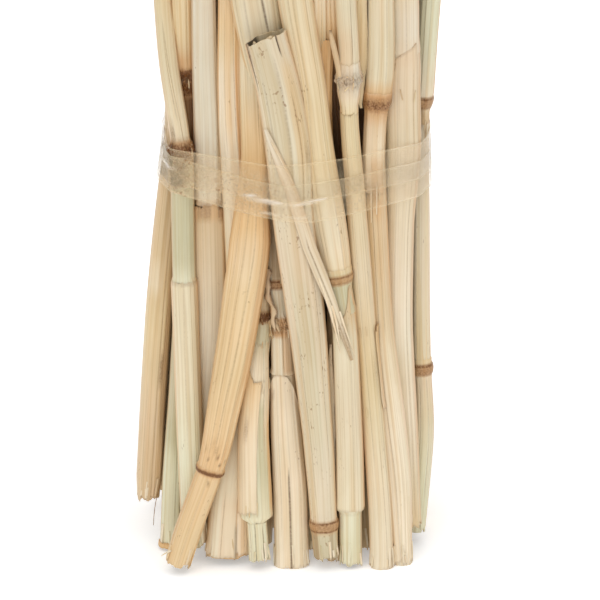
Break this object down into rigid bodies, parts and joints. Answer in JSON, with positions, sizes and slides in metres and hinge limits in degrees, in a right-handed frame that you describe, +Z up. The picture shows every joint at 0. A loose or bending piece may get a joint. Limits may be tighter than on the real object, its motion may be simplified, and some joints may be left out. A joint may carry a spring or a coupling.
{
  "type": "bunch of reeds",
  "caption": "Bunch of dried, straw-coloured reed stalks with nodes and leaf sheaths, standing on their cut feet and bound round the middle with clear tape",
  "frame": {"origin": "middle of the bunch's bounding box on the surface that it stands on", "axes": "+Z up along the reeds, +X to the bunch's right, and the side that the picture shows faces -Y"},
  "size_m": [0.1436, 0.107, 0.42],
  "materials": {
    "cream_reed": "dry straw, fine lengthwise grain",
    "yellow_reed": "dry straw, warm yellow, slight sheen",
    "green_reed": "dry culm, pale green, smooth",
    "white_reed": "dry culm, whitish grey",
    "grey_reed": "weathered straw with brown flecks",
    "orange_reed": "dry straw, pinkish orange",
    "clear_tape": "clear adhesive tape, glossy"
  },
  "bodies": {
    "root": {"reed_left_green": "green_reed", "reed_leftmost": "cream_reed", "reed_dark_node": "cream_reed", "reed_whitish": "white_reed", "reed_split_foot": "cream_reed", "reed_green_rim": "cream_reed", "reed_wide_flat": "cream_reed", "reed_open_top": "grey_reed", "reed_long_yellow": "yellow_reed", "reed_orange_tip": "orange_reed", "reed_thin_left": "orange_reed", "reed_thin_right": "orange_reed", "reed_knobbly": "white_reed", "reed_speckled_node": "yellow_reed", "reed_pale_right": "white_reed", "reed_rightmost": "yellow_reed", "reed_leaning": "yellow_reed", "reed_peeled_node": "cream_reed", "reed_right_shade": "yellow_reed", "reed_back_01": "cream_reed", "reed_back_02": "white_reed", "reed_back_03": "yellow_reed", "reed_back_04": "yellow_reed", "reed_back_05": "cream_reed", "reed_back_06": "grey_reed", "reed_back_07": "cream_reed", "reed_back_08": "green_reed", "reed_back_09": "cream_reed", "reed_back_10": "white_reed", "reed_back_11": "yellow_reed", "reed_back_12": "yellow_reed", "reed_back_13": "cream_reed", "reed_back_14": "grey_reed", "reed_back_15": "cream_reed", "reed_inner_01": "yellow_reed", "reed_inner_02": "cream_reed", "reed_inner_03": "grey_reed", "reed_inner_04": "cream_reed", "reed_inner_05": "green_reed", "reed_inner_06": "cream_reed", "reed_inner_07": "white_reed", "reed_inner_08": "yellow_reed", "reed_inner_09": "yellow_reed", "reed_inner_10": "cream_reed", "reed_inner_11": "grey_reed", "reed_inner_12": "cream_reed", "reed_core_01": "cream_reed", "reed_core_02": "green_reed", "reed_core_03": "cream_reed", "reed_core_04": "white_reed", "reed_core_05": "yellow_reed", "reed_core_06": "yellow_reed", "reed_core_07": "cream_reed", "reed_core_08": "grey_reed", "reed_core_09": "cream_reed", "reed_heart_01": "white_reed", "loose_sheath": "yellow_reed", "tape": "clear_tape"}
  },
  "joints": []
}
